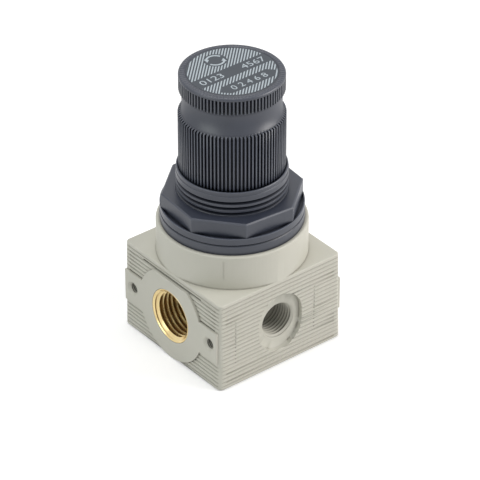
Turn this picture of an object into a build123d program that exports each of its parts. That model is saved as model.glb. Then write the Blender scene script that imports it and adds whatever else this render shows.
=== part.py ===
"""Miniature diaphragm pressure regulator with a push-to-lock knob and a panel nut.

Millimetres, +Z up. The origin is on the knob's axis at the base. The inlet is on -X, the outlet on +X,
and the gauge ports are on -Y, open, and on +Y, plugged.
"""

import os
from math import cos, pi, radians, sin, tan

from build123d import *

os.makedirs("parts", exist_ok=True)

# Clearances and small gaps
running_gap = 0.05
thread_gap = 0.05
slide_gap = 0.1
end_gap = 0.4

# Body block and neck
body_width = 38.0
block_height = 24.5
body_draft = 0.9
corner_radius = 1.5
base_chamfer = 0.35
top_edge_round = 0.3
neck_height = 9.2
neck_inset = 0.07
neck_round = 0.5

# Grooved faces of the block
groove_count = 21
groove_pitch = 1.115
groove_depth = 0.27
groove_end_margin = 1.75
mark_depth = 0.15
mark_width = 0.3
mark_height = 12.4
mark_places = (-14.0, 10.4)

# Side pads round the main ports
pad_proud = 0.5
pad_radius = 12.1
pad_band_height = 8.8
pad_band_half_length = 18.0
pad_root_depth = 1.2
side_slot_height = 22.7
side_slot_length = 22.6
side_slot_width = 0.45
side_slot_depth = 1.5
side_slot_gap = 0.3

# Main ports, G 1/4, in brass inserts
port_height = 12.25
insert_radius = 7.1
insert_wall_behind = 1.1
port_minor_radius = 5.72
port_mouth_radius = 6.35

# Screw holes beside the main ports
screw_spacing = 30.0
screw_hole_radius = 1.25
screw_sink_radius = 1.7
screw_hole_depth = 8.0

# Gauge ports, G 1/8, in the body itself
gauge_minor_radius = 4.283
gauge_mouth_radius = 4.95
gauge_depth = 8.0
gauge_recess_width = 13.2
gauge_recess_height = 15.6
gauge_recess_depth = 1.2

# Plug in the rear gauge port
gauge_plug_length = 6.5
gauge_plug_depth = 0.3
gauge_plug_edge = 0.4
gauge_plug_socket = 5.0
gauge_plug_socket_depth = 3.5

# Valve and bottom plug
plug_radius = 8.0
plug_recess = 0.6
plug_height = 6.0
plug_skin = 1.0
plug_ring_thickness = 1.3
plug_ring_below_top = 1.0
pin_hole_radius = 0.9
pin_hole_circle = 5.4
pin_hole_depth = 1.6
valve_chamber_radius = 6.4
valve_chamber_height = 6.8
seat_radius = 5.6
seat_thickness = 1.5
seat_hole_radius = 2.8
seat_lip_width = 0.5
seat_lip_height = 0.4
outlet_chamber_radius = 4.6
outlet_chamber_height = 4.1
valve_travel = 1.0
poppet_stem_radius = 1.3
poppet_tail_radius = 2.0
poppet_head_radius = 4.6
poppet_head_height = 1.8
poppet_rim = 0.5
poppet_seal_thickness = 0.8
stem_ring_thickness = 1.1
valve_spring_radius = 3.6
valve_spring_wire = 0.6
valve_spring_turns = 3
inlet_passage_radius = 2.6
inlet_passage_lift = 0.8
outlet_passage_radius = 1.8
outlet_passage_lift = 0.2
gauge_passage_radius = 0.7
sensing_hole_radius = 0.6
sensing_hole_place = 3.2

# Diaphragm and its plates
clamp_ledge_depth = 6.3
clamp_ledge_width = 2.7
diaphragm_chamber_depth = 3.4
bead_thickness = 1.6
bead_width = 1.7
web_thickness = 0.8
web_lift = 0.4
clamp_ring_thickness = 0.6
hub_radius = 2.2
hub_flange_radius = 5.5
hub_flange_thickness = 1.2
hub_rivet_radius = 3.0
hub_rivet_height = 0.6
relief_hole_radius = 0.8
spring_seat_radius = 11.2
spring_seat_thickness = 1.2
spring_seat_step_radius = 5.2
spring_seat_step_height = 1.2
spring_seat_rim = 0.6

# Bonnet
bonnet_rim_step = 0.95
bonnet_seat_width = 1.4
bonnet_flange_height = 2.55
bonnet_edge = 0.3
bonnet_wall = 2.9
collar_height = 12.45
collar_wall = 0.52
collar_lead = 2.4
collar_rim_height = 1.15
collar_rim_step = 0.12
collar_edge = 0.15
thread_pitch = 1.5
thread_depth = 0.8
thread_groove_width = 1.1
counterbore_depth = 1.6
core_web = 1.5
collar_core_wall = 2.0
cavity_height = 4.0
cavity_cone = 1.5
tower_wall = 2.0
tower_deck = 2.0
tower_edge = 0.5
lock_tooth_count = 24
lock_tooth_height = 1.0
lock_tooth_depth = 0.5
lock_tooth_angle = 6.5
detent_groove_depth = 0.3
detent_height = 4.0
key_width = 3.0
key_depth = 0.85

# Panel nut
nut_flange_height = 2.0
nut_flange_step = 0.05
nut_octagon_height = 3.9
nut_wall = 2.53
nut_corner_radius = 17.45
nut_turned = 17.6
nut_edge = 0.3
nut_pocket_depth = 0.35
nut_lip = 0.35

# Knob
knob_radius = 12.95
knob_gap = 0.15
knob_travel = 1.2
knob_stop_gap = 0.1
skirt_height = 15.4
shoulder_slope = 0.5
waist_radius = 12.0
waist_height = 5.8
head_radius = 12.75
head_height = 4.6
head_round = 0.6
knob_edge = 0.3
rib_count = 88
rib_depth = 0.65
rib_crest_share = 0.4
rib_root_share = 0.36
knob_wall = 2.05
knob_deck = 3.8
tower_side_gap = 0.7
boss_height = 3.8
boss_wall = 1.8
socket_skin = 1.0
disc_radius = 11.0
disc_thickness = 0.8
detent_wire = 0.8
detent_ring_gap = 0.12
detent_ring_opening = 30.0

# Spindle, follower and main spring
spindle_radius = 4.0
spindle_journal_radius = 3.5
spindle_collar_radius = 6.0
spindle_collar_height = 1.4
spindle_hex = 6.0
spindle_tip = 1.0
thrust_washer_thickness = 0.6
follower_height = 4.0
follower_travel = 7.5
follower_top_gap = 0.6
spring_side_gap = 0.5
spring_wire = 2.2
spring_turns = 7

# Levels, from the base up
block_top = block_height
neck_top = block_top + neck_height
flange_top = neck_top + bonnet_flange_height
nut_flange_top = flange_top + nut_flange_height
nut_top = nut_flange_top + nut_octagon_height
collar_top = flange_top + collar_height
counterbore_floor = collar_top - counterbore_depth
knob_bottom = counterbore_floor + knob_travel + knob_stop_gap
shoulder = knob_bottom + skirt_height
head_bottom = shoulder + waist_height
knob_top = head_bottom + head_height
knob_ceiling = knob_top - knob_deck
boss_bottom = knob_ceiling - boss_height
tower_top = boss_bottom - knob_travel - end_gap
deck_bottom = tower_top - tower_deck
socket_top = knob_top - disc_thickness - socket_skin
hex_top = socket_top - knob_travel - end_gap
washer_bottom = deck_bottom - thrust_washer_thickness
spindle_collar_bottom = washer_bottom - spindle_collar_height
follower_top = spindle_collar_bottom - follower_top_gap
follower_bottom = follower_top - follower_height
spindle_bottom = follower_bottom - follower_travel - spindle_tip
clamp_ledge = neck_top - clamp_ledge_depth
diaphragm_floor = clamp_ledge - diaphragm_chamber_depth
bead_top = clamp_ledge + bead_thickness
bonnet_bottom = bead_top + clamp_ring_thickness
web_bottom = clamp_ledge + web_lift
web_top = web_bottom + web_thickness
hub_bottom = web_bottom - hub_flange_thickness
spring_seat_top = web_top + spring_seat_thickness
plug_top = plug_recess + plug_height
seat_level = plug_top + valve_chamber_height
seat_top = seat_level + seat_thickness
outlet_chamber_top = seat_top + outlet_chamber_height
seal_top = seat_level - seat_lip_height
seal_bottom = seal_top - poppet_seal_thickness
poppet_head_bottom = seal_bottom - poppet_head_height
guide_floor = plug_recess + plug_skin
tail_bottom = guide_floor + end_gap + valve_travel

# Radii and places that follow from the sizes above
draft_slope = tan(radians(body_draft))
neck_radius = body_width / 2 - block_height * draft_slope - neck_inset
bonnet_flange_radius = neck_radius - bonnet_rim_step
bonnet_plug_radius = bonnet_flange_radius - bonnet_seat_width
neck_bore_radius = bonnet_plug_radius + thread_gap
diaphragm_chamber_radius = neck_bore_radius - clamp_ledge_width
bead_radius = neck_bore_radius - slide_gap
cavity_radius = bonnet_plug_radius - bonnet_wall
nut_flange_radius = bonnet_flange_radius - nut_flange_step
counterbore_radius = knob_radius + knob_gap
collar_radius = counterbore_radius + collar_wall
core_radius = collar_radius - collar_core_wall
nut_flats = 2 * (collar_radius + nut_wall)
knob_bore_radius = knob_radius - knob_wall
tower_radius = knob_bore_radius - tower_side_gap
tower_bore_radius = tower_radius - tower_wall
spring_radius = tower_bore_radius - spring_side_gap - spring_wire / 2
detent_level = deck_bottom - detent_height + tower_deck
pad_face = body_width / 2 - port_height * draft_slope + pad_proud
insert_back = plug_radius + insert_wall_behind
insert_length = pad_face - insert_back
gauge_face = body_width / 2 - port_height * draft_slope - gauge_recess_depth
inlet_passage_height = plug_top + inlet_passage_radius + inlet_passage_lift
outlet_passage_height = seat_top + outlet_passage_radius + outlet_passage_lift
gauge_passage_height = seat_top + gauge_passage_radius + outlet_passage_lift
first_groove = (block_height - (groove_count - 1) * groove_pitch) / 2


def face_half_width(height):
    """Half the width of the drafted block at a height."""
    return body_width / 2 - height * draft_slope


def section(*points):
    """Closed half section in the upright plane, from pairs of radius and height."""
    with BuildSketch(Plane.XZ) as profile:
        with BuildLine():
            Polyline(*points, close=True)
        make_face()
    return profile.sketch


def pad_outline(side):
    """Outline of a side pad: a disc cut flat at the top, with a band across it."""
    with BuildSketch(Plane.YZ.offset(side * pad_face)) as outline:
        with Locations((0, port_height)):
            Circle(pad_radius)
            Rectangle(2 * pad_band_half_length, pad_band_height)
        with Locations((0, side_slot_height - side_slot_gap)):
            Rectangle(body_width, block_height, align=(Align.CENTER, Align.MIN), mode=Mode.SUBTRACT)
    return outline.sketch


def ribbed_disc(plane, radius):
    """Round outline with straight ribs, each a flat crest between two sloping flanks."""
    pitch = 2 * pi / rib_count
    crest = rib_crest_share / 2
    root = (1 - rib_root_share) / 2
    corners = ((-root, radius - rib_depth), (-crest, radius), (crest, radius), (root, radius - rib_depth))
    points = []
    for rib in range(rib_count):
        for place, reach in corners:
            angle = (rib + place) * pitch
            points.append((reach * cos(angle), reach * sin(angle)))
    with BuildSketch(plane) as outline:
        with BuildLine():
            Polyline(*points, close=True)
        make_face()
    return outline.sketch


def tooth_ring(plane, inner, outer, first_angle):
    """Lock teeth, as short sectors between two radii."""
    half = radians(lock_tooth_angle) / 2
    with BuildSketch(plane) as teeth:
        with PolarLocations(0, lock_tooth_count, start_angle=first_angle):
            Polygon(
                (inner * cos(half), -inner * sin(half)),
                (outer * cos(half), -outer * sin(half)),
                (outer * cos(half), outer * sin(half)),
                (inner * cos(half), inner * sin(half)),
                align=None,
            )
    return teeth.sketch


def coil(radius, wire, turns, start, end):
    """Round wire wound as a helix between two levels of its centre line."""
    with BuildPart() as winding:
        with BuildLine():
            path = Helix((end - start) / turns, end - start, radius, center=(0, 0, start))
        with BuildSketch(Plane(origin=path @ 0, z_dir=path % 0)):
            Circle(wire / 2)
        sweep(path=path, is_frenet=True)
    return winding.part


# Bars that cut the grooves of the block's faces, stopped at the side pads
with BuildPart() as groove_bars:
    groove_half_length = face_half_width(block_height) - groove_end_margin
    for plane in (Plane.XZ, Plane.YZ):
        with BuildSketch(plane):
            for groove in range(groove_count):
                height = first_groove + groove * groove_pitch
                reach = face_half_width(height)
                with Locations((-reach, height), (reach, height)):
                    Rectangle(groove_depth * 2**0.5, groove_depth * 2**0.5, rotation=45)
        extrude(amount=groove_half_length, both=True)
    for side in (-1, 1):
        extrude(pad_outline(side), amount=-side * pad_root_depth, mode=Mode.SUBTRACT)

# Body: block with grooved faces, neck, ports and the valve bores
with BuildPart() as body:
    with BuildSketch():
        RectangleRounded(body_width, body_width, corner_radius)
    extrude(amount=block_height, taper=body_draft)
    fillet(body.faces().sort_by(Axis.Z)[-1].edges(), top_edge_round)
    chamfer(body.faces().sort_by(Axis.Z)[0].edges(), base_chamfer)
    with BuildSketch(Plane.XY.offset(block_top - top_edge_round)):
        Circle(neck_radius)
    extrude(amount=neck_height + top_edge_round)
    fillet(body.faces().sort_by(Axis.Z)[-1].edges(), neck_round)
    for side in (-1, 1):
        extrude(pad_outline(side), amount=-side * pad_root_depth)
        with BuildSketch(Plane.YZ.offset(side * pad_face)):
            with Locations((0, side_slot_height)):
                Rectangle(side_slot_length, side_slot_width)
        extrude(amount=-side * (pad_proud + side_slot_depth), mode=Mode.SUBTRACT)
        with BuildSketch(Plane.YZ.offset(side * pad_face)):
            with Locations((0, port_height)):
                Circle(insert_radius)
        extrude(amount=-side * insert_length, mode=Mode.SUBTRACT)
        with BuildSketch(Plane.YZ.offset(side * pad_face)) as screws:
            with Locations((-screw_spacing / 2, port_height), (screw_spacing / 2, port_height)):
                Circle(screw_hole_radius)
        extrude(amount=-side * screw_hole_depth, mode=Mode.SUBTRACT)
        with BuildSketch(Plane.YZ.offset(side * pad_face)):
            with Locations((-screw_spacing / 2, port_height), (screw_spacing / 2, port_height)):
                Circle(screw_sink_radius)
        extrude(amount=-side * (screw_sink_radius - screw_hole_radius), taper=45, mode=Mode.SUBTRACT)
        with BuildSketch(Plane.XZ.offset(side * body_width / 2)):
            with Locations((0, port_height)):
                SlotOverall(gauge_recess_height, gauge_recess_width, rotation=90)
        extrude(amount=-side * (body_width / 2 - gauge_face), mode=Mode.SUBTRACT)
        with BuildSketch(Plane.XZ.offset(side * gauge_face)):
            with Locations((0, port_height)):
                Circle(gauge_minor_radius)
        extrude(amount=-side * gauge_depth, mode=Mode.SUBTRACT)
        with BuildSketch(Plane.XZ.offset(side * gauge_face)):
            with Locations((0, port_height)):
                Circle(gauge_mouth_radius)
        extrude(amount=-side * (gauge_mouth_radius - gauge_minor_radius), taper=45, mode=Mode.SUBTRACT)
        with BuildSketch(Plane.XZ.offset(side * face_half_width(port_height))):
            with Locations(*((place, port_height) for place in mark_places)):
                Rectangle(mark_width, mark_height)
        extrude(amount=-side * mark_depth, mode=Mode.SUBTRACT)
    revolve(
        section(
            (0, 0),
            (plug_radius + thread_gap, 0),
            (plug_radius + thread_gap, plug_top),
            (valve_chamber_radius, plug_top),
            (valve_chamber_radius, seat_level),
            (seat_radius, seat_level),
            (seat_radius, seat_top),
            (outlet_chamber_radius, seat_top),
            (outlet_chamber_radius, outlet_chamber_top),
            (poppet_stem_radius + running_gap, outlet_chamber_top),
            (poppet_stem_radius + running_gap, diaphragm_floor),
            (diaphragm_chamber_radius, diaphragm_floor),
            (diaphragm_chamber_radius, clamp_ledge),
            (neck_bore_radius, clamp_ledge),
            (neck_bore_radius, neck_top),
            (0, neck_top),
        ),
        axis=Axis.Z,
        mode=Mode.SUBTRACT,
    )
    with BuildSketch(Plane.YZ):
        with Locations((0, inlet_passage_height)):
            Circle(inlet_passage_radius)
    extrude(amount=-insert_back, mode=Mode.SUBTRACT)
    with BuildSketch(Plane.YZ):
        with Locations((0, outlet_passage_height)):
            Circle(outlet_passage_radius)
    extrude(amount=insert_back, mode=Mode.SUBTRACT)
    with BuildSketch(Plane.XZ):
        with Locations((0, gauge_passage_height)):
            Circle(gauge_passage_radius)
    extrude(amount=gauge_face - gauge_depth, both=True, mode=Mode.SUBTRACT)
    with BuildSketch(Plane.XY.offset(outlet_chamber_top)):
        with Locations((sensing_hole_place, 0)):
            Circle(sensing_hole_radius)
    extrude(amount=diaphragm_floor - outlet_chamber_top, mode=Mode.SUBTRACT)
    add(groove_bars.part, mode=Mode.SUBTRACT)


def port_insert(side):
    """Brass bush with the port's thread bore and a chamfered mouth."""
    mouth = port_mouth_radius - port_minor_radius
    with BuildPart() as bush:
        with BuildSketch(Plane.YZ.offset(side * pad_face)):
            with Locations((0, port_height)):
                Circle(insert_radius)
                Circle(port_minor_radius, mode=Mode.SUBTRACT)
        extrude(amount=-side * insert_length)
        with BuildSketch(Plane.YZ.offset(side * pad_face)):
            with Locations((0, port_height)):
                Circle(port_mouth_radius)
        extrude(amount=-side * mouth, taper=45, mode=Mode.SUBTRACT)
    return bush.part


# Brass bushes moulded into the body
inlet_insert = port_insert(-1)
outlet_insert = port_insert(1)

# Rear gauge port's plug, headless with a hexagon socket
with BuildPart() as gauge_plug:
    with BuildSketch(Plane.XZ.offset(gauge_plug_depth - gauge_face)):
        with Locations((0, port_height)):
            Circle(gauge_minor_radius)
    extrude(amount=gauge_plug_length)
    chamfer(gauge_plug.faces().sort_by(Axis.Y)[-1].edges(), gauge_plug_edge)
    with BuildSketch(Plane.XZ.offset(gauge_plug_depth - gauge_face)):
        with Locations((0, port_height)):
            RegularPolygon(gauge_plug_socket / 2, 6, major_radius=False)
    extrude(amount=gauge_plug_socket_depth, mode=Mode.SUBTRACT)

# Bottom plug: closes the valve chamber and guides the poppet's tail
with BuildPart() as bottom_plug:
    ring_level = plug_top - plug_ring_below_top - plug_ring_thickness
    ring_floor = plug_radius - plug_ring_thickness
    stem_ring_level = (guide_floor + plug_top) / 2 + slide_gap
    stem_ring_floor = poppet_tail_radius + running_gap + stem_ring_thickness
    stem_ring_half = stem_ring_thickness / 2 + slide_gap
    revolve(
        section(
            (0, plug_recess),
            (plug_radius, plug_recess),
            (plug_radius, ring_level),
            (ring_floor, ring_level),
            (ring_floor, ring_level + plug_ring_thickness + slide_gap),
            (plug_radius, ring_level + plug_ring_thickness + slide_gap),
            (plug_radius, plug_top),
            (poppet_tail_radius + running_gap, plug_top),
            (poppet_tail_radius + running_gap, stem_ring_level + stem_ring_half),
            (stem_ring_floor, stem_ring_level + stem_ring_half),
            (stem_ring_floor, stem_ring_level - stem_ring_half),
            (poppet_tail_radius + running_gap, stem_ring_level - stem_ring_half),
            (poppet_tail_radius + running_gap, guide_floor),
            (0, guide_floor),
        ),
        axis=Axis.Z,
    )
    with BuildSketch(Plane.XY.offset(plug_recess)):
        with PolarLocations(pin_hole_circle, 2):
            Circle(pin_hole_radius)
    extrude(amount=pin_hole_depth, mode=Mode.SUBTRACT)

# Round sealing rings of the bottom plug
with BuildPart() as bottom_plug_o_ring:
    with BuildSketch(Plane.XZ):
        with Locations((plug_radius - plug_ring_thickness / 2, ring_level + plug_ring_thickness / 2)):
            Circle(plug_ring_thickness / 2)
    revolve(axis=Axis.Z)

with BuildPart() as stem_o_ring:
    with BuildSketch(Plane.XZ):
        with Locations((poppet_tail_radius + running_gap + stem_ring_thickness / 2, stem_ring_level)):
            Circle((stem_ring_thickness - running_gap) / 2)
    revolve(axis=Axis.Z)

# Valve seat: brass ring with a raised lip facing down
with BuildPart() as valve_seat:
    revolve(
        section(
            (seat_hole_radius, seal_top),
            (seat_hole_radius + seat_lip_width, seal_top),
            (seat_hole_radius + seat_lip_width + seat_lip_height, seat_level),
            (seat_radius, seat_level),
            (seat_radius, seat_top),
            (seat_hole_radius, seat_top),
        ),
        axis=Axis.Z,
    )

# Poppet: stem, head and guided tail in one turned piece
with BuildPart() as valve_poppet:
    revolve(
        section(
            (0, tail_bottom),
            (poppet_tail_radius, tail_bottom),
            (poppet_tail_radius, poppet_head_bottom),
            (poppet_head_radius, poppet_head_bottom),
            (poppet_head_radius, seal_bottom + poppet_seal_thickness / 2),
            (poppet_head_radius - poppet_rim, seal_bottom + poppet_seal_thickness / 2),
            (poppet_head_radius - poppet_rim, seal_bottom),
            (poppet_stem_radius, seal_bottom),
            (poppet_stem_radius, hub_bottom),
            (0, hub_bottom),
        ),
        axis=Axis.Z,
    )

# Rubber facing on the poppet's head
with BuildPart() as poppet_seal:
    with BuildSketch(Plane.XY.offset(seal_bottom)):
        Circle(poppet_head_radius - poppet_rim)
        Circle(poppet_stem_radius, mode=Mode.SUBTRACT)
    extrude(amount=poppet_seal_thickness)

# Valve spring, with plain ends
valve_spring = coil(
    valve_spring_radius,
    valve_spring_wire,
    valve_spring_turns,
    plug_top + valve_spring_wire / 2,
    poppet_head_bottom - valve_spring_wire / 2,
)

# Adjusting spring, wound half a pitch long at each end and ground flat
with BuildPart() as adjusting_spring:
    half_pitch = (follower_bottom - spring_seat_top) / (spring_turns - 1) / 2
    add(
        coil(
            spring_radius,
            spring_wire,
            spring_turns,
            spring_seat_top - half_pitch,
            follower_bottom + half_pitch,
        )
    )
    with BuildSketch(Plane.XY.offset(spring_seat_top)):
        Circle(spring_radius + spring_wire)
    extrude(amount=follower_bottom - spring_seat_top, mode=Mode.INTERSECT)

# Diaphragm: rubber disc with a thick clamped bead
with BuildPart() as diaphragm:
    revolve(
        section(
            (hub_radius, web_bottom),
            (bead_radius - bead_width, web_bottom),
            (bead_radius - bead_width, clamp_ledge),
            (bead_radius, clamp_ledge),
            (bead_radius, bead_top),
            (bead_radius - bead_width, bead_top),
            (bead_radius - bead_width, web_top),
            (hub_radius, web_top),
        ),
        axis=Axis.Z,
    )

# Hub: relief seat, riveted through the diaphragm and the spring seat
with BuildPart() as diaphragm_hub:
    rivet_bottom = spring_seat_top + spring_seat_step_height
    revolve(
        section(
            (relief_hole_radius, hub_bottom),
            (hub_flange_radius, hub_bottom),
            (hub_flange_radius, web_bottom),
            (hub_radius, web_bottom),
            (hub_radius, rivet_bottom),
            (hub_rivet_radius, rivet_bottom),
            (hub_rivet_radius, rivet_bottom + hub_rivet_height),
            (relief_hole_radius, rivet_bottom + hub_rivet_height),
        ),
        axis=Axis.Z,
    )

# Spring seat: pressed dish on top of the diaphragm
with BuildPart() as spring_seat:
    revolve(
        section(
            (hub_radius, web_top),
            (spring_seat_radius, web_top),
            (spring_seat_radius, spring_seat_top + spring_seat_step_height),
            (spring_seat_radius - spring_seat_rim, spring_seat_top + spring_seat_step_height),
            (spring_seat_radius - spring_seat_rim, spring_seat_top),
            (spring_seat_step_radius, spring_seat_top),
            (spring_seat_step_radius, spring_seat_top + spring_seat_step_height),
            (hub_radius, spring_seat_top + spring_seat_step_height),
        ),
        axis=Axis.Z,
    )

# Slip ring between the diaphragm's bead and the bonnet
with BuildPart() as clamp_ring:
    with BuildSketch(Plane.XY.offset(bead_top)):
        Circle(bead_radius)
        Circle(cavity_radius + slide_gap, mode=Mode.SUBTRACT)
    extrude(amount=clamp_ring_thickness)

# Bonnet: screwed plug, flange, threaded collar and the spring tower in one moulding
with BuildPart() as bonnet:
    collar_rim_radius = collar_radius - collar_rim_step
    core_top = counterbore_floor - core_web
    cone_top = bonnet_bottom + cavity_height + cavity_cone
    revolve(
        section(
            (cavity_radius, bonnet_bottom),
            (bonnet_plug_radius, bonnet_bottom),
            (bonnet_plug_radius, neck_top),
            (bonnet_flange_radius, neck_top),
            (bonnet_flange_radius, flange_top - bonnet_edge),
            (bonnet_flange_radius - bonnet_edge, flange_top),
            (collar_radius, flange_top),
            (collar_radius, collar_top - collar_rim_height),
            (collar_rim_radius, collar_top - collar_rim_height + collar_rim_step),
            (collar_rim_radius, collar_top - collar_edge),
            (collar_rim_radius - collar_edge, collar_top),
            (counterbore_radius, collar_top),
            (counterbore_radius, counterbore_floor),
            (tower_radius, counterbore_floor),
            (tower_radius, tower_top - tower_edge),
            (tower_radius - tower_edge, tower_top),
            (spindle_journal_radius + running_gap, tower_top),
            (spindle_journal_radius + running_gap, deck_bottom),
            (tower_bore_radius, deck_bottom),
            (tower_bore_radius, cone_top),
            (tower_radius, cone_top),
            (tower_radius, core_top),
            (core_radius, core_top),
            (core_radius, cone_top),
            (cavity_radius, bonnet_bottom + cavity_height),
        ),
        axis=Axis.Z,
    )
    # Thread drawn as plain rings, one for each turn
    thread_top = collar_top - collar_lead - thread_groove_width / 2
    thread_turns = int((thread_top - flange_top) / thread_pitch)
    for turn in range(thread_turns):
        level = thread_top - turn * thread_pitch
        revolve(
            section(
                (collar_radius - thread_depth, level),
                (collar_radius + slide_gap, level - thread_groove_width / 2),
                (collar_radius + slide_gap, level + thread_groove_width / 2),
            ),
            axis=Axis.Z,
            mode=Mode.SUBTRACT,
        )
    for level in (detent_level, detent_level - knob_travel):
        revolve(
            section(
                (tower_radius - detent_groove_depth, level),
                (tower_radius + slide_gap, level - detent_groove_depth),
                (tower_radius + slide_gap, level + detent_groove_depth),
            ),
            axis=Axis.Z,
            mode=Mode.SUBTRACT,
        )
    with BuildSketch(Plane.XY.offset(cone_top)):
        Rectangle(2 * (tower_bore_radius + key_depth), key_width + 2 * slide_gap)
    extrude(amount=follower_top + follower_top_gap - cone_top, mode=Mode.SUBTRACT)
    extrude(
        tooth_ring(
            Plane.XY.offset(counterbore_floor), tower_radius - slide_gap, tower_radius + lock_tooth_depth, 0
        ),
        amount=lock_tooth_height,
    )

# Thrust washer under the tower's deck
with BuildPart() as thrust_washer:
    with BuildSketch(Plane.XY.offset(washer_bottom)):
        Circle(spindle_collar_radius)
        Circle(spindle_journal_radius + running_gap, mode=Mode.SUBTRACT)
    extrude(amount=thrust_washer_thickness)

# Adjusting spindle: left-hand screw with a collar and a hexagon drive
with BuildPart() as adjusting_spindle:
    revolve(
        section(
            (0, spindle_bottom),
            (spindle_radius - spindle_tip, spindle_bottom),
            (spindle_radius, spindle_bottom + spindle_tip),
            (spindle_radius, spindle_collar_bottom),
            (spindle_collar_radius, spindle_collar_bottom),
            (spindle_collar_radius, washer_bottom),
            (spindle_journal_radius, washer_bottom),
            (spindle_journal_radius, tower_top),
            (0, tower_top),
        ),
        axis=Axis.Z,
    )
    with BuildSketch(Plane.XY.offset(tower_top)):
        RegularPolygon(spindle_hex / 2, 6, major_radius=False)
    extrude(amount=hex_top - tower_top)

# Spring follower: nut with two keys that run in the tower's slots
with BuildPart() as spring_follower:
    with BuildSketch(Plane.XY.offset(follower_bottom)):
        Circle(tower_bore_radius - slide_gap)
        Rectangle(2 * (tower_bore_radius + key_depth - slide_gap), key_width)
        Circle(spindle_radius + running_gap, mode=Mode.SUBTRACT)
    extrude(amount=follower_height)

# Panel nut: eight flats on a round flange, with a pocket below each flat
with BuildPart() as panel_nut:
    with BuildSketch(Plane.XY.offset(flange_top)):
        Circle(nut_flange_radius)
    extrude(amount=nut_flange_height)
    chamfer(panel_nut.faces().sort_by(Axis.Z)[0].edges(), nut_edge)
    with BuildSketch(Plane.XY.offset(nut_flange_top)):
        Circle(nut_flange_radius - nut_lip)
    extrude(amount=-nut_pocket_depth, mode=Mode.SUBTRACT)
    with BuildSketch(Plane.XY.offset(nut_flange_top - nut_pocket_depth)):
        RegularPolygon(nut_flats / 2, 8, major_radius=False, rotation=nut_turned)
        Circle(nut_corner_radius, mode=Mode.INTERSECT)
    extrude(amount=nut_pocket_depth + nut_octagon_height)
    chamfer(panel_nut.faces().sort_by(Axis.Z)[-1].edges(), nut_edge)
    with BuildSketch(Plane.XY.offset(flange_top)):
        Circle(collar_radius + running_gap)
    extrude(amount=nut_top - flange_top, mode=Mode.SUBTRACT)

# Turned form of the knob: its ends, waist, bore, boss, socket and lock teeth
with BuildPart() as knob_form:
    rim = knob_top - head_round
    boss_radius = spindle_hex / 2 + boss_wall
    detent_groove = knob_bore_radius + detent_wire / 2
    with BuildSketch(Plane.XZ):
        with BuildLine():
            Polyline(
                (head_radius - head_round, knob_top),
                (disc_radius + running_gap, knob_top),
                (disc_radius + running_gap, knob_top - disc_thickness),
                (0, knob_top - disc_thickness),
                (0, boss_bottom),
                (boss_radius, boss_bottom),
                (boss_radius, knob_ceiling),
                (knob_bore_radius, knob_ceiling),
                (knob_bore_radius, detent_level + detent_wire),
                (detent_groove, detent_level + detent_wire),
                (detent_groove, detent_level - detent_wire),
                (knob_bore_radius, detent_level - detent_wire),
                (knob_bore_radius, knob_bottom),
                (knob_radius - knob_edge, knob_bottom),
                (knob_radius, knob_bottom + knob_edge),
                (knob_radius, shoulder - shoulder_slope),
                (waist_radius, shoulder),
                (waist_radius, head_bottom),
                (head_radius - knob_edge, head_bottom),
                (head_radius, head_bottom + knob_edge),
                (head_radius, rim),
            )
            RadiusArc((head_radius, rim), (head_radius - head_round, knob_top), -head_round)
        make_face()
    revolve(axis=Axis.Z)
    with BuildSketch(Plane.XY.offset(boss_bottom)):
        RegularPolygon(spindle_hex / 2 + running_gap, 6, major_radius=False)
    extrude(amount=socket_top - boss_bottom, mode=Mode.SUBTRACT)
    extrude(
        tooth_ring(
            Plane.XY.offset(knob_bottom),
            knob_bore_radius - lock_tooth_depth,
            knob_bore_radius + slide_gap,
            180 / lock_tooth_count,
        ),
        amount=lock_tooth_height,
    )

# Knob: straight ribs on the skirt and the head, trimmed to the turned form
with BuildPart() as knob:
    extrude(ribbed_disc(Plane.XY.offset(knob_bottom), knob_radius), amount=skirt_height)
    with BuildSketch(Plane.XY.offset(shoulder)):
        Circle(waist_radius)
    extrude(amount=waist_height)
    extrude(ribbed_disc(Plane.XY.offset(head_bottom), head_radius), amount=head_height)
    add(knob_form.part, mode=Mode.INTERSECT)

# Printed disc let into the knob's top
with BuildPart() as knob_disc:
    with BuildSketch(Plane.XY.offset(knob_top - disc_thickness)):
        Circle(disc_radius)
    extrude(amount=disc_thickness)

# Split wire ring that clicks over the tower as the knob is pushed
with BuildPart() as detent_ring:
    with BuildSketch(Plane.XZ):
        with Locations((tower_radius + detent_ring_gap + detent_wire / 2, detent_level)):
            Circle(detent_wire / 2)
    revolve(axis=Axis.Z, revolution_arc=360 - detent_ring_opening)

pieces = {
    "body": body.part,
    "inlet_insert": inlet_insert,
    "outlet_insert": outlet_insert,
    "gauge_plug": gauge_plug.part,
    "bottom_plug": bottom_plug.part,
    "bottom_plug_o_ring": bottom_plug_o_ring.part,
    "stem_o_ring": stem_o_ring.part,
    "valve_seat": valve_seat.part,
    "valve_poppet": valve_poppet.part,
    "poppet_seal": poppet_seal.part,
    "valve_spring": valve_spring,
    "diaphragm": diaphragm.part,
    "diaphragm_hub": diaphragm_hub.part,
    "spring_seat": spring_seat.part,
    "clamp_ring": clamp_ring.part,
    "adjusting_spring": adjusting_spring.part,
    "bonnet": bonnet.part,
    "thrust_washer": thrust_washer.part,
    "adjusting_spindle": adjusting_spindle.part,
    "spring_follower": spring_follower.part,
    "panel_nut": panel_nut.part,
    "knob": knob.part,
    "knob_disc": knob_disc.part,
    "detent_ring": detent_ring.part,
}
for name, piece in pieces.items():
    piece.label = name
    export_step(piece, f"parts/{name}.step")
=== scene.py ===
"""Looks of a miniature pressure regulator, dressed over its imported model, in metres, +Z up.

The sections follow the object as it is put together, from the moulded body up to the printed disc on
the knob, and end with the table it stands on, the lamps and the camera.
"""

from math import cos, hypot, pi, radians, sin, tan

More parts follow.
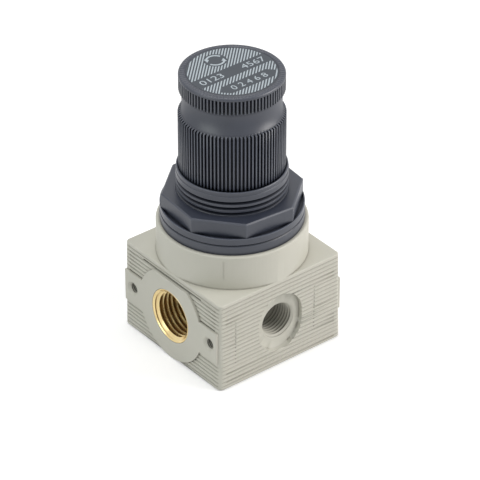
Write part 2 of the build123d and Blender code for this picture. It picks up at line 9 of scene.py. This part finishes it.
import bmesh
import bpy
from mathutils import Matrix, Vector
from mathutils.geometry import delaunay_2d_cdt


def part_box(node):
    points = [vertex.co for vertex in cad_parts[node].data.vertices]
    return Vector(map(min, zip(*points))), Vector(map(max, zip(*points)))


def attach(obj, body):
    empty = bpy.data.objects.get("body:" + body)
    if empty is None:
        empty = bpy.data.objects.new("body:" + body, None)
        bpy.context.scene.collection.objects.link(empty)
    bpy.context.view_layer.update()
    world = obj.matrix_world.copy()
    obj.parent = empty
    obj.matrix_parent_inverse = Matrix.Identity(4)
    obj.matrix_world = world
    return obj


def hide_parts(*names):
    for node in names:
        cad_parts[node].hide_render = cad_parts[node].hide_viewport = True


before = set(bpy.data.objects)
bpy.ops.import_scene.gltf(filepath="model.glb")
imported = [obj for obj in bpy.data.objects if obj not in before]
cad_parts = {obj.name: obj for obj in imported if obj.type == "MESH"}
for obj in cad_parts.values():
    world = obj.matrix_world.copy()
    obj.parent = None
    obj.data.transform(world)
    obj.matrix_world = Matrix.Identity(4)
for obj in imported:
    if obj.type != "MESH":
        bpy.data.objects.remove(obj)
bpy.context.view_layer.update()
mm = 0.001


# Body: one injection moulding in beige glass-filled polyester, with fine grooves on its four faces.
# The main ports have brass bushes moulded in. The gauge ports are tapped in the plastic itself.
def linear(hex_colour):
    """Linear colour of an sRGB hex value, with a full alpha."""
    channels = [int(hex_colour[i : i + 2], 16) / 255 for i in (1, 3, 5)]
    return tuple(c / 12.92 if c <= 0.04045 else ((c + 0.055) / 1.055) ** 2.4 for c in channels) + (1.0,)


def add_node(tree, kind, settings, links):
    """Adds a node, sets its sockets or properties by name or index, and links outputs into its inputs."""
    node = tree.nodes.new(kind)
    for name, value in settings.items():
        if isinstance(name, int) or name in node.inputs:
            node.inputs[name].default_value = value
        else:
            setattr(node, name, value)
    for name, output in links.items():
        tree.links.new(output, node.inputs[name])
    return node


def new_surface(name):
    """Material with a Principled surface. Returns the material, its tree, the shader and millimetre coordinates."""
    material = bpy.data.materials.new(name)
    material.use_nodes = True
    tree = material.node_tree
    shader = tree.nodes["Principled BSDF"]
    place = add_node(tree, "ShaderNodeTexCoord", {}, {})
    scaled = add_node(tree, "ShaderNodeMapping", {"Scale": (1000, 1000, 1000)}, {"Vector": place.outputs["Object"]})
    return material, tree, shader, scaled.outputs["Vector"]


def mesh_of(shape, name):
    """Mesh of a finished shape."""
    mesh = bpy.data.meshes.new(name)
    shape.to_mesh(mesh)
    shape.free()
    return mesh


def mesh_object(name, mesh, material, sharp_angle):
    """Object with that mesh, smooth shaded up to an angle between faces, in one material."""
    mesh.materials.append(material)
    mesh.shade_smooth()
    mesh.set_sharp_from_angle(angle=radians(sharp_angle))
    piece = bpy.data.objects.new(name, mesh)
    bpy.context.scene.collection.objects.link(piece)
    return piece


def merged_copy(node, name):
    """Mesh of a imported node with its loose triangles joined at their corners."""
    shape = bmesh.new()
    shape.from_mesh(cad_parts[node].data)
    bmesh.ops.remove_doubles(shape, verts=shape.verts, dist=0.0001 * mm)
    return mesh_of(shape, name)


def thread_cutter(minor_radius, major_radius, pitch, turns):
    """Helical bar with a V section that cuts an internal thread, round Z and up from Z = 0, in millimetres."""
    inside = minor_radius - 0.06 * pitch
    mouth_half = 0.47 * pitch
    root_half = 0.08 * pitch
    steps_per_turn = 64
    corners = ((inside, mouth_half), (major_radius, root_half), (major_radius, -root_half), (inside, -mouth_half))
    shape = bmesh.new()
    ring = [shape.verts.new((radius, 0, height)) for radius, height in corners]
    edges = [shape.edges.new((ring[i - 1], ring[i])) for i in range(4)]
    bmesh.ops.spin(
        shape, geom=ring + edges, cent=(0, 0, 0), axis=(0, 0, 1), dvec=(0, 0, pitch / steps_per_turn),
        angle=2 * pi * turns, steps=steps_per_turn * turns, use_merge=False, use_duplicate=False,
    )
    bmesh.ops.holes_fill(shape, edges=[e for e in shape.edges if e.is_boundary], sides=0)
    bmesh.ops.recalc_face_normals(shape, faces=shape.faces)
    return shape


def combine(piece, shapes, operation, sharp_angle):
    """Cuts closed shapes out of a mesh object or joins them to it, and shades it again up to an angle."""
    for shape in shapes:
        other = bpy.data.objects.new("other", mesh_of(shape, "other"))
        bpy.context.scene.collection.objects.link(other)
        step = piece.modifiers.new("step", "BOOLEAN")
        step.operation = operation
        step.solver = "EXACT"
        step.object = other
        result = bpy.data.meshes.new_from_object(piece.evaluated_get(bpy.context.evaluated_depsgraph_get()))
        piece.modifiers.remove(step)
        piece.data = result
        bpy.data.objects.remove(other)
    piece.data.shade_smooth()
    piece.data.set_sharp_from_angle(angle=radians(sharp_angle))


# Matte plastic with a faint spark-eroded grain and a soft change of shade where the melt flowed
body_plastic, tree, shader, place = new_surface("beige_polyester")
flow = add_node(tree, "ShaderNodeTexNoise", {"Scale": 0.12, "Detail": 3.0}, {"Vector": place})
shade = add_node(
    tree, "ShaderNodeMix", {"data_type": "RGBA", 6: linear("#bfbeb2"), 7: linear("#c7c5bb")},
    {"Factor": flow.outputs["Fac"]},
)
# Painted shade: the colour darkens towards an olive brown in the grooves, creases and inside corners, from ambient
# occlusion within half a millimetre
crease_shade_ao = add_node(tree, "ShaderNodeAmbientOcclusion", {"Distance": 0.5 * mm, "samples": 8}, {})
crease_shaded = add_node(
    tree, "ShaderNodeMix", {"data_type": "RGBA", 6: linear("#6d685c")},
    {"Factor": crease_shade_ao.outputs["AO"], 7: shade.outputs[2]},
)
# Painted shade: the colour goes much darker deep in the screw holes, port mouths and recesses, from ambient occlusion
# within 3 mm
hollow_shade_ao = add_node(tree, "ShaderNodeAmbientOcclusion", {"Distance": 3.0 * mm, "samples": 8}, {})
hollow_shade_amount = add_node(tree, "ShaderNodeMapRange", {"From Max": 0.42}, {"Value": hollow_shade_ao.outputs["AO"]})
hollow_shaded = add_node(
    tree, "ShaderNodeMix", {"data_type": "RGBA", 6: linear("#36332a")},
    {"Factor": hollow_shade_amount.outputs[0], 7: crease_shaded.outputs[2]},
)
tree.links.new(hollow_shaded.outputs[2], shader.inputs["Base Color"])
grain = add_node(tree, "ShaderNodeTexNoise", {"Scale": 5.0, "Detail": 4.0}, {"Vector": place})
soft_edge = add_node(tree, "ShaderNodeBevel", {"samples": 6, "Radius": 0.12 * mm}, {})
relief = add_node(
    tree, "ShaderNodeBump", {"Strength": 0.35, "Distance": 0.012 * mm},
    {"Height": grain.outputs["Fac"], "Normal": soft_edge.outputs["Normal"]},
)
tree.links.new(relief.outputs["Normal"], shader.inputs["Normal"])
shader.inputs["Roughness"].default_value = 0.52
shader.inputs["IOR"].default_value = 1.48

gauge_minor = 4.283
gauge_major = 4.864
gauge_pitch = 0.907
gauge_turns = 8
gauge_face = 17.61
port_height = 12.25
body_sharp_angle = 12
body = mesh_object("regulator_body", merged_copy("body", "regulator_body"), body_plastic, body_sharp_angle)
gauge_thread = thread_cutter(gauge_minor, gauge_major, gauge_pitch, gauge_turns)
to_gauge = Matrix.Translation((0, -gauge_face, port_height)) @ Matrix.Rotation(radians(-90), 4, "X")
bmesh.ops.transform(gauge_thread, matrix=Matrix.Scale(mm, 4) @ to_gauge, verts=gauge_thread.verts)

# The grooves run on into the rounded corners: bars set on edge take up both ends of each packed groove
half_width = 19.0
block_height = 24.5
body_draft = 0.9
groove_count = 21
groove_pitch = 1.115
groove_side = 0.267 * 2**0.5
groove_from = 16.5
corner_gap = 0.3
pad_reach = 4.7
groove_ends = bmesh.new()
for quarter in range(4):
    for groove in range(groove_count):
        height = (block_height - (groove_count - 1) * groove_pitch) / 2 + groove * groove_pitch
        if quarter % 2 == 1 and abs(height - port_height) < pad_reach:
            continue
        reach = half_width - height * tan(radians(body_draft))
        length = reach - corner_gap - groove_from
        for end in (-1, 1):
            on_edge = Matrix.Rotation(pi / 4, 4, "X") @ Matrix.Diagonal((length, groove_side, groove_side, 1))
            at_end = Matrix.Translation((end * (groove_from + length / 2), -reach, height)) @ on_edge
            bmesh.ops.create_cube(groove_ends, size=1, matrix=Matrix.Rotation(quarter * pi / 2, 4, "Z") @ at_end)
bmesh.ops.scale(groove_ends, vec=(mm, mm, mm), verts=groove_ends.verts)

# Screw holes with an M3 thread under a wider countersink
screw_spacing = 30.0
screw_minor = 1.25
screw_major = 1.5
screw_pitch = 0.5
screw_turns = 8
sink_radius = 1.95
sink_depth = 0.6
pad_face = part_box("outlet_insert")[1].x / mm
screw_cutters = []
for side in (-1, 1):
    for place in (-screw_spacing / 2, screw_spacing / 2):
        to_screw = Matrix.Rotation(radians(90 * side), 4, "Y") @ Matrix.Translation((0, 0, pad_face))
        to_screw = Matrix.Scale(mm, 4) @ Matrix.Translation((0, place, port_height)) @ to_screw
        screw_thread = thread_cutter(screw_minor, screw_major, screw_pitch, screw_turns)
        inwards = Matrix.Translation((0, 0, -screw_pitch * screw_turns))
        bmesh.ops.transform(screw_thread, matrix=to_screw @ inwards, verts=screw_thread.verts)
        sink = bmesh.new()
        bmesh.ops.create_cone(
            sink, cap_ends=True, segments=48, radius1=screw_minor, radius2=2 * sink_radius - screw_minor,
            depth=2 * sink_depth, matrix=to_screw,
        )
        screw_cutters += [screw_thread, sink]
combine(body, [gauge_thread, groove_ends] + screw_cutters, "DIFFERENCE", body_sharp_angle)
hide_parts("body")
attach(body, "root")

# A faint raised line on the neck, where the mould's parts meet
neck_radius = 18.545
line_low = 27.5
line_high = 32.5
line_width = 0.12
line_proud = 0.05
line_turn = 225
across = Matrix.Diagonal((2 * line_proud, line_width, line_high - line_low, 1))
at_radius = Matrix.Translation((neck_radius, 0, (line_low + line_high) / 2))
on_neck = Matrix.Scale(mm, 4) @ Matrix.Rotation(radians(line_turn), 4, "Z") @ at_radius
shape = bmesh.new()
bmesh.ops.create_cube(shape, size=1, matrix=on_neck @ across)
neck_line = mesh_object("neck_line", mesh_of(shape, "neck_line"), body_plastic, body_sharp_angle)
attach(neck_line, "root")


# Port bushes: turned brass, moulded into the body, with a G 1/4 thread and a bright lip round the
# mouth. The two are alike, one facing -X and one +X.
def revolved(section, steps):
    """Closed solid turned round Z from pairs of radius and height, in millimetres."""
    shape = bmesh.new()
    ring = [shape.verts.new((radius, 0, height)) for radius, height in section]
    edges = [shape.edges.new((ring[i - 1], ring[i])) for i in range(len(ring))]
    bmesh.ops.spin(
        shape, geom=ring + edges, cent=(0, 0, 0), axis=(0, 0, 1), angle=2 * pi, steps=steps,
        use_merge=True, use_duplicate=False,
    )
    bmesh.ops.remove_doubles(shape, verts=shape.verts, dist=0.001)
    bmesh.ops.recalc_face_normals(shape, faces=shape.faces)
    return shape


port_minor = 5.72
port_major = 6.58
port_pitch = 1.337
bush_radius = 7.1
bush_edge = 0.1
bush_steps = 128
bush_sharp_angle = 30
mouth_radius = 6.85
mouth_depth = 0.95
bush_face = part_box("outlet_insert")[1].x / mm
bush_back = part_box("outlet_insert")[0].x / mm

# Brass turned on a lathe, polished by the tool: faint rings about the port's axis
brass, tree, shader, place = new_surface("turned_brass")
shader.inputs["Metallic"].default_value = 0.85
shader.inputs["Roughness"].default_value = 0.25
tarnish = add_node(tree, "ShaderNodeTexNoise", {"Scale": 0.35, "Detail": 4.0}, {"Vector": place})
tint = add_node(
    tree, "ShaderNodeMix", {"data_type": "RGBA", 6: linear("#ecd9a6"), 7: linear("#dcc084")},
    {"Factor": tarnish.outputs["Fac"]},
)
# Painted shade: the brass turns dark brown in the thread's roots and other hollows, from ambient occlusion, so the
# crests stand out bright
root_shade_ao = add_node(tree, "ShaderNodeAmbientOcclusion", {"Distance": 0.8 * mm, "samples": 8}, {})
root_shade_amount = add_node(tree, "ShaderNodeMath", {"operation": "POWER", 1: 1.2}, {0: root_shade_ao.outputs["AO"]})
root_shaded = add_node(
    tree, "ShaderNodeMix", {"data_type": "RGBA", 6: linear("#83501e")},
    {"Factor": root_shade_amount.outputs[0], 7: tint.outputs[2]},
)
tree.links.new(root_shaded.outputs[2], shader.inputs["Base Color"])
rings = add_node(
    tree, "ShaderNodeTexWave", {"wave_type": "BANDS", "bands_direction": "X", "Scale": 3.0, "Distortion": 1.5},
    {"Vector": place},
)
brass_relief = add_node(
    tree, "ShaderNodeBump", {"Strength": 0.2, "Distance": 0.01 * mm}, {"Height": rings.outputs["Fac"]}
)
tree.links.new(brass_relief.outputs["Normal"], shader.inputs["Normal"])

section = (
    (port_minor, bush_back), (bush_radius, bush_back), (bush_radius, bush_face - bush_edge),
    (bush_radius - bush_edge, bush_face), (mouth_radius, bush_face), (port_minor, bush_face - mouth_depth),
)
for node, side in (("inlet_insert", -1), ("outlet_insert", 1)):
    shape = revolved(section, bush_steps)
    to_port = Matrix.Translation((0, 0, port_height)) @ Matrix.Rotation(radians(90 * side), 4, "Y")
    to_port = Matrix.Scale(mm, 4) @ to_port
    bmesh.ops.transform(shape, matrix=to_port, verts=shape.verts)
    bush = mesh_object(node + "_bush", mesh_of(shape, node + "_bush"), brass, bush_sharp_angle)
    turns = int((bush_face - bush_back) / port_pitch) + 2
    port_thread = thread_cutter(port_minor, port_major, port_pitch, turns)
    lift = Matrix.Translation((0, 0, bush_back - port_pitch))
    bmesh.ops.transform(port_thread, matrix=to_port @ lift, verts=port_thread.verts)
    combine(bush, [port_thread], "DIFFERENCE", bush_sharp_angle)
    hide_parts(node)
    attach(bush, "root")


# Bonnet, panel nut, knob and bottom plug: mouldings in dark blue-grey nylon with a fine matt grain.
# The collar's thread, the nut's flats and the knob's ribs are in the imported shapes.
dark_plastic, tree, shader, place = new_surface("blue_grey_nylon")
shader.inputs["Roughness"].default_value = 0.38
shader.inputs["IOR"].default_value = 1.62
cloud = add_node(tree, "ShaderNodeTexNoise", {"Scale": 0.2, "Detail": 4.0}, {"Vector": place})
tone = add_node(
    tree, "ShaderNodeMix", {"data_type": "RGBA", 6: linear("#2c303c"), 7: linear("#343946")},
    {"Factor": cloud.outputs["Fac"]},
)
# Painted shade: the colour goes nearly black in rib valleys, thread roots and gaps between parts, and the specular
# level drops there too, from ambient occlusion
valley_shade_ao = add_node(tree, "ShaderNodeAmbientOcclusion", {"Distance": 0.9 * mm, "samples": 8}, {})
valley_shade_amount = add_node(tree, "ShaderNodeMath", {"operation": "POWER", 1: 2.0}, {0: valley_shade_ao.outputs["AO"]})
valley_shaded_gleam = add_node(tree, "ShaderNodeMath", {"operation": "MULTIPLY", 1: 0.5}, {0: valley_shade_amount.outputs[0]})
tree.links.new(valley_shaded_gleam.outputs[0], shader.inputs["Specular IOR Level"])
# Painted highlight: thin convex edges and the crests of ribs and threads are lightened towards pale blue-grey, from
# ambient occlusion inside the part
edge_highlight_ao = add_node(tree, "ShaderNodeAmbientOcclusion", {"Distance": 0.35 * mm, "samples": 8, "inside": True}, {})
edge_highlighted = add_node(
    tree, "ShaderNodeMix", {"data_type": "RGBA", 6: linear("#666c7b")},
    {"Factor": edge_highlight_ao.outputs["AO"], 7: tone.outputs[2]},
)
shaded = add_node(
    tree, "ShaderNodeMix", {"data_type": "RGBA", 6: linear("#101218")},
    {"Factor": valley_shade_amount.outputs[0], 7: edge_highlighted.outputs[2]},
)
tree.links.new(shaded.outputs[2], shader.inputs["Base Color"])
fine = add_node(tree, "ShaderNodeTexNoise", {"Scale": 6.0, "Detail": 3.0}, {"Vector": place})
dark_edge = add_node(tree, "ShaderNodeBevel", {"samples": 6, "Radius": 0.12 * mm}, {})
dark_relief = add_node(
    tree, "ShaderNodeBump", {"Strength": 0.3, "Distance": 0.012 * mm},
    {"Height": fine.outputs["Fac"], "Normal": dark_edge.outputs["Normal"]},
)
tree.links.new(dark_relief.outputs["Normal"], shader.inputs["Normal"])
for node in ("bonnet", "panel_nut", "bottom_plug"):
    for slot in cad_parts[node].material_slots:
        slot.material = dark_plastic

# The ribs of the knob's head stop below its top edge, at a plain rounded band that is joined to the knob.
# It stands a hair proud of the ribs and a hair under the top, so that no faces coincide.
head_radius = 12.76
top_step = 0.005
head_round = 0.6
band_inside = 11.5
band_height = 1.0
band_slope = 0.25
band_steps = 176
knob_sharp_angle = 30
knob_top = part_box("knob")[1].z / mm - top_step
band_bottom = knob_top - band_height
round_steps = 8
section = [
    (band_inside, band_bottom), (head_radius - band_slope, band_bottom), (head_radius, band_bottom + band_slope)
]
for step in range(round_steps + 1):
    angle = pi / 2 * step / round_steps
    section.append((head_radius - head_round * (1 - cos(angle)), knob_top - head_round * (1 - sin(angle))))
section.append((band_inside, knob_top))
shape = revolved(section, band_steps)
bmesh.ops.scale(shape, vec=(mm, mm, mm), verts=shape.verts)
knob = mesh_object("ribbed_knob", merged_copy("knob", "ribbed_knob"), dark_plastic, knob_sharp_angle)
combine(knob, [shape], "UNION", knob_sharp_angle)
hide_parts("knob")
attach(knob, "knob")


# Knob disc: a printed film let into the knob, dark with pale hatching at 45 degrees. Two bare bands
# hold plain numbers, and a small round place holds a pair of arrows for turning.
def circle_points(centre, radius, count):
    """Points round a circle."""
    angles = [2 * pi * k / count for k in range(count)]
    return [(centre[0] + radius * cos(angle), centre[1] + radius * sin(angle)) for angle in angles]


def closed(points):
    """Edges round a closed outline."""
    return list(zip(points, points[1:] + points[:1]))


def numbers(text, centre, width, height):
    """Outline edges of plain numbers in the built-in typeface, fitted to a box."""
    curve = bpy.data.curves.new("numbers", "FONT")
    curve.body = text
    curve.resolution_u = 3
    writing = bpy.data.objects.new("numbers", curve)
    flat = bmesh.new()
    flat.from_mesh(writing.to_mesh())
    bmesh.ops.remove_doubles(flat, verts=flat.verts, dist=1e-5)
    left, right = min(v.co.x for v in flat.verts), max(v.co.x for v in flat.verts)
    low, high = min(v.co.y for v in flat.verts), max(v.co.y for v in flat.verts)
    fitted = {
        v: (
            centre[0] + ((v.co.x - left) / (right - left) - 0.5) * width,
            centre[1] + ((v.co.y - low) / (high - low) - 0.5) * height,
        )
        for v in flat.verts
    }
    edges = [(fitted[e.verts[0]], fitted[e.verts[1]]) for e in flat.edges if len(e.link_faces) == 1]
    flat.free()
    bpy.data.objects.remove(writing)
    bpy.data.curves.remove(curve)
    return edges


def turn_arrow(centre, radius, stroke, start, sweep):
    """Outline edges of an arc that ends in an arrow head, with its angles in degrees."""
    angles = [radians(start + sweep * k / 16) for k in range(17)]
    tip = radians(start + sweep * 1.32)
    points = [(radius + stroke / 2, angle) for angle in angles]
    points += [(radius + stroke * 1.3, angles[-1]), (radius, tip), (radius - stroke * 1.3, angles[-1])]
    points += [(radius - stroke / 2, angle) for angle in reversed(angles)]
    return closed([(centre[0] + reach * cos(angle), centre[1] + reach * sin(angle)) for reach, angle in points])


def odd_crossings(point, edges):
    """True for a point inside closed outlines, by counting the edges to its right."""
    x, y = point
    crossings = 0
    for (ax, ay), (bx, by) in edges:
        if (ay > y) != (by > y) and x < ax + (y - ay) / (by - ay) * (bx - ax):
            crossings += 1
    return crossings % 2 == 1


disc_radius = 11.0
disc_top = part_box("knob_disc")[1].z / mm
disc_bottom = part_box("knob_disc")[0].z / mm
stripe_pitch = 0.69
stripe_share = 0.46
hatch_radius = 10.7
band_half = 1.95
low_band_y = -6.05
low_band_half = 1.85
low_band_x = 0.3
low_band_reach = 8.3
turn_place = (0.0, 6.35)
turn_patch = 2.85

slope_start = low_band_reach - low_band_half
low_band = [(-low_band_reach, 0), (-slope_start, -low_band_half), (slope_start, -low_band_half)]
low_band += [(low_band_reach, 0), (slope_start, low_band_half), (-slope_start, low_band_half)]
low_band = [(low_band_x + x, low_band_y + y) for x, y in low_band]
patch = closed(circle_points(turn_place, turn_patch, 48))
signs = numbers("0123", (-6.1, 0.0), 6.6, 2.0) + numbers("4567", (6.3, 0.0), 6.8, 2.0)
signs += numbers("0 2 4 6 8", (0.35, low_band_y), 10.4, 1.9)
signs += turn_arrow(turn_place, 2.15, 0.5, 20, 115) + turn_arrow(turn_place, 2.15, 0.5, 200, 115)
inside_hatch = closed(circle_points((0, 0), hatch_radius, 128))
half_chord = (hatch_radius**2 - band_half**2) ** 0.5
lines = [((-half_chord, y), (half_chord, y)) for y in (-band_half, band_half)]
lines += closed(low_band) + patch + signs + inside_hatch
diagonal = 0.5**0.5
for stripe in range(-16, 17):
    for share in (0, stripe_share):
        offset = (stripe + share) * stripe_pitch
        if abs(offset) < hatch_radius:
            reach = (hatch_radius**2 - offset**2) ** 0.5
            lines.append((
                ((offset - reach) * diagonal, (-offset - reach) * diagonal),
                ((offset + reach) * diagonal, (-offset + reach) * diagonal),
            ))
rim = circle_points((0, 0), disc_radius, 128)
points = [Vector(p) for p in rim] + [Vector(p) for line in lines for p in line]
ties = [(k, (k + 1) % len(rim)) for k in range(len(rim))]
ties += [(k, k + 1) for k in range(len(rim), len(points), 2)]
corners, _, triangles, _, _, _ = delaunay_2d_cdt(points, ties, [tuple(range(len(rim)))], 1, 1e-6)
shape = bmesh.new()
tops = [shape.verts.new((x, y, disc_top)) for x, y in corners]
for triangle in triangles:
    face = shape.faces.new([tops[k] for k in triangle])
    x, y, _ = face.calc_center_median()
    aside, above = abs(x - low_band_x), abs(y - low_band_y)
    hatched = (
        ((x - y) * diagonal / stripe_pitch) % 1 < stripe_share
        and hypot(x, y) < hatch_radius
        and abs(y) > band_half
        and not (above < low_band_half and aside + above < low_band_reach)
        and hypot(x - turn_place[0], y - turn_place[1]) > turn_patch
    )
    face.material_index = 1 if hatched or odd_crossings((x, y), signs) else 0
edge_ring = [e for e in shape.edges if e.is_boundary]
walls = bmesh.ops.extrude_edge_only(shape, edges=edge_ring)["geom"]
for vertex in (v for v in walls if isinstance(v, bmesh.types.BMVert)):
    vertex.co.z = disc_bottom
bmesh.ops.holes_fill(shape, edges=[e for e in shape.edges if e.is_boundary], sides=0)
bmesh.ops.recalc_face_normals(shape, faces=shape.faces)
bmesh.ops.scale(shape, vec=(mm, mm, mm), verts=shape.verts)
mesh = mesh_of(shape, "printed_disc")

print_film, tree, shader, place = new_surface("printed_film")
shader.inputs["Roughness"].default_value = 0.5
smear = add_node(tree, "ShaderNodeTexNoise", {"Scale": 0.3, "Detail": 4.0}, {"Vector": place})
tint = add_node(
    tree, "ShaderNodeMix", {"data_type": "RGBA", 6: linear("#333940"), 7: linear("#3a4048")},
    {"Factor": smear.outputs["Fac"]},
)
tree.links.new(tint.outputs[2], shader.inputs["Base Color"])
print_ink, tree, shader, place = new_surface("pale_ink")
shader.inputs["Roughness"].default_value = 0.55
wear = add_node(tree, "ShaderNodeTexNoise", {"Scale": 3.0, "Detail": 4.0}, {"Vector": place})
tint = add_node(
    tree, "ShaderNodeMix", {"data_type": "RGBA", 6: linear("#9aa5ac"), 7: linear("#b9c2c8")},
    {"Factor": wear.outputs["Fac"]},
)
tree.links.new(tint.outputs[2], shader.inputs["Base Color"])
disc = mesh_object("printed_disc", mesh, print_film, 30)
mesh.materials.append(print_ink)
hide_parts("knob_disc")
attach(disc, "knob")


# Hidden pieces inside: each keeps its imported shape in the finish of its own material
for node, name, colour, metallic, roughness in (
    ("gauge_plug", "zinc_plated_steel", "#b9b6a6", 1.0, 0.3),
    ("adjusting_spindle", "turned_steel", "#b4b4b2", 1.0, 0.32),
    ("adjusting_spring", "spring_wire", "#8e8f92", 1.0, 0.35),
    ("valve_spring", "fine_spring_wire", "#9b9c9e", 1.0, 0.3),
    ("detent_ring", "ring_wire", "#8f9092", 1.0, 0.35),
    ("valve_seat", "seat_brass", "#cfa653", 1.0, 0.28),
    ("valve_poppet", "poppet_brass", "#cfa653", 1.0, 0.28),
    ("diaphragm_hub", "hub_brass", "#cfa653", 1.0, 0.3),
    ("spring_seat", "pressed_aluminium", "#c4c5c8", 1.0, 0.4),
    ("clamp_ring", "white_acetal", "#dcd9cf", 0.0, 0.4),
    ("thrust_washer", "washer_acetal", "#dcd9cf", 0.0, 0.4),
    ("spring_follower", "follower_acetal", "#d8d5ca", 0.0, 0.42),
    ("diaphragm", "diaphragm_rubber", "#26272a", 0.0, 0.65),
    ("poppet_seal", "seal_rubber", "#1e1f21", 0.0, 0.6),
    ("bottom_plug_o_ring", "ring_rubber", "#1c1d1f", 0.0, 0.5),
    ("stem_o_ring", "stem_ring_rubber", "#1c1d1f", 0.0, 0.5),
):
    finish, tree, shader, place = new_surface(name)
    shader.inputs["Metallic"].default_value = metallic
    shader.inputs["Roughness"].default_value = roughness
    speck = add_node(tree, "ShaderNodeTexNoise", {"Scale": 1.2, "Detail": 5.0}, {"Vector": place})
    base = linear(colour)
    duller = tuple(0.86 * c for c in base[:3]) + (1.0,)
    mottled = add_node(
        tree, "ShaderNodeMix", {"data_type": "RGBA", 6: duller, 7: base}, {"Factor": speck.outputs["Fac"]}
    )
    tree.links.new(mottled.outputs[2], shader.inputs["Base Color"])
    wear = add_node(
        tree, "ShaderNodeBump", {"Strength": 0.2, "Distance": 0.01 * mm}, {"Height": speck.outputs["Fac"]}
    )
    tree.links.new(wear.outputs["Normal"], shader.inputs["Normal"])
    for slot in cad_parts[node].material_slots:
        slot.material = finish


# Table: a wide plain sheet, white to the camera, that keeps the object's soft shadow
sheet = bmesh.new()
bmesh.ops.create_grid(sheet, x_segments=1, y_segments=1, size=3.0)
table_mesh = mesh_of(sheet, "table")
table = bpy.data.objects.new("table", table_mesh)
bpy.context.scene.collection.objects.link(table)
table_paint = bpy.data.materials.new("table_paint")
table_paint.use_nodes = True
tree = table_paint.node_tree
tree.nodes.remove(tree.nodes["Principled BSDF"])
matt = add_node(tree, "ShaderNodeBsdfDiffuse", {"Color": (0.8, 0.8, 0.8, 1.0)}, {})
lift_light = add_node(tree, "ShaderNodeEmission", {"Color": (1.0, 1.0, 1.0, 1.0), "Strength": 0.35}, {})
lifted = add_node(tree, "ShaderNodeAddShader", {}, {0: matt.outputs[0], 1: lift_light.outputs[0]})
rays = add_node(tree, "ShaderNodeLightPath", {}, {})
seen = add_node(
    tree, "ShaderNodeMath", {"operation": "MAXIMUM"},
    {0: rays.outputs["Is Camera Ray"], 1: rays.outputs["Is Glossy Ray"]},
)
pick = add_node(tree, "ShaderNodeMixShader", {}, {0: seen.outputs[0], 1: matt.outputs[0], 2: lifted.outputs[0]})
tree.links.new(pick.outputs[0], tree.nodes["Material Output"].inputs["Surface"])
table_mesh.materials.append(table_paint)

# Room: white where the camera and reflections see it, a plain soft fill elsewhere
world = bpy.data.worlds.new("room")
bpy.context.scene.world = world
world.use_nodes = True
tree = world.node_tree
fill = tree.nodes["Background"]
fill.inputs["Color"].default_value = (1.0, 1.0, 1.0, 1.0)
fill.inputs["Strength"].default_value = 0.35
bright = add_node(tree, "ShaderNodeBackground", {"Color": (1.0, 1.0, 1.0, 1.0), "Strength": 1.0}, {})
rays = add_node(tree, "ShaderNodeLightPath", {}, {})
seen = add_node(
    tree, "ShaderNodeMath", {"operation": "MAXIMUM"},
    {0: rays.outputs["Is Camera Ray"], 1: rays.outputs["Is Glossy Ray"]},
)
pick = add_node(tree, "ShaderNodeMixShader", {}, {0: seen.outputs[0], 1: fill.outputs[0], 2: bright.outputs[0]})
tree.links.new(pick.outputs[0], tree.nodes["World Output"].inputs["Surface"])

# Lamps: one large soft box on the right, a weaker one on the left and one overhead
aim = Vector((0, 0, 35 * mm))
for name, place, size, power, tint in (
    ("right_box", (0.40, -0.38, 0.32), 0.35, 2.65, (1.0, 0.97, 0.94)),
    ("left_box", (-0.52, 0.00, 0.28), 0.35, 0.75, (0.94, 1.0, 0.96)),
    ("top_box", (-0.05, 0.10, 0.60), 0.40, 1.6, (1.0, 1.0, 1.0)),
):
    lamp_data = bpy.data.lights.new(name, "AREA")
    lamp_data.shape = "SQUARE"
    lamp_data.size = size
    lamp_data.energy = power
    lamp_data.color = tint
    lamp = bpy.data.objects.new(name, lamp_data)
    lamp.location = place
    lamp.rotation_euler = (aim - Vector(place)).to_track_quat("-Z", "Y").to_euler()
    bpy.context.scene.collection.objects.link(lamp)

# Camera: a long lens, looking down on the body's front corner
camera_turn = radians(38.71)
camera_height = radians(33.89)
camera_distance = 802.5 * mm
camera_aside = 1.88 * mm
camera_aim_height = 26.38 * mm
focal_pixels = 3301.1
image_pixels = 480
camera_data = bpy.data.cameras.new("camera")
camera_data.sensor_width = 36
camera_data.lens = focal_pixels / image_pixels * camera_data.sensor_width
camera_data.clip_end = 10
towards = Vector((-sin(camera_turn) * cos(camera_height), -cos(camera_turn) * cos(camera_height), sin(camera_height)))
right = Vector((cos(camera_turn), -sin(camera_turn), 0))
up = towards.cross(right)
camera = bpy.data.objects.new("camera", camera_data)
turned = Matrix((right, up, towards)).transposed().to_4x4()
spot = right * camera_aside + Vector((0, 0, camera_aim_height)) + towards * camera_distance
camera.matrix_world = Matrix.Translation(spot) @ turned
bpy.context.scene.collection.objects.link(camera)
bpy.context.scene.camera = camera
bpy.context.scene.view_settings.view_transform = "Standard"
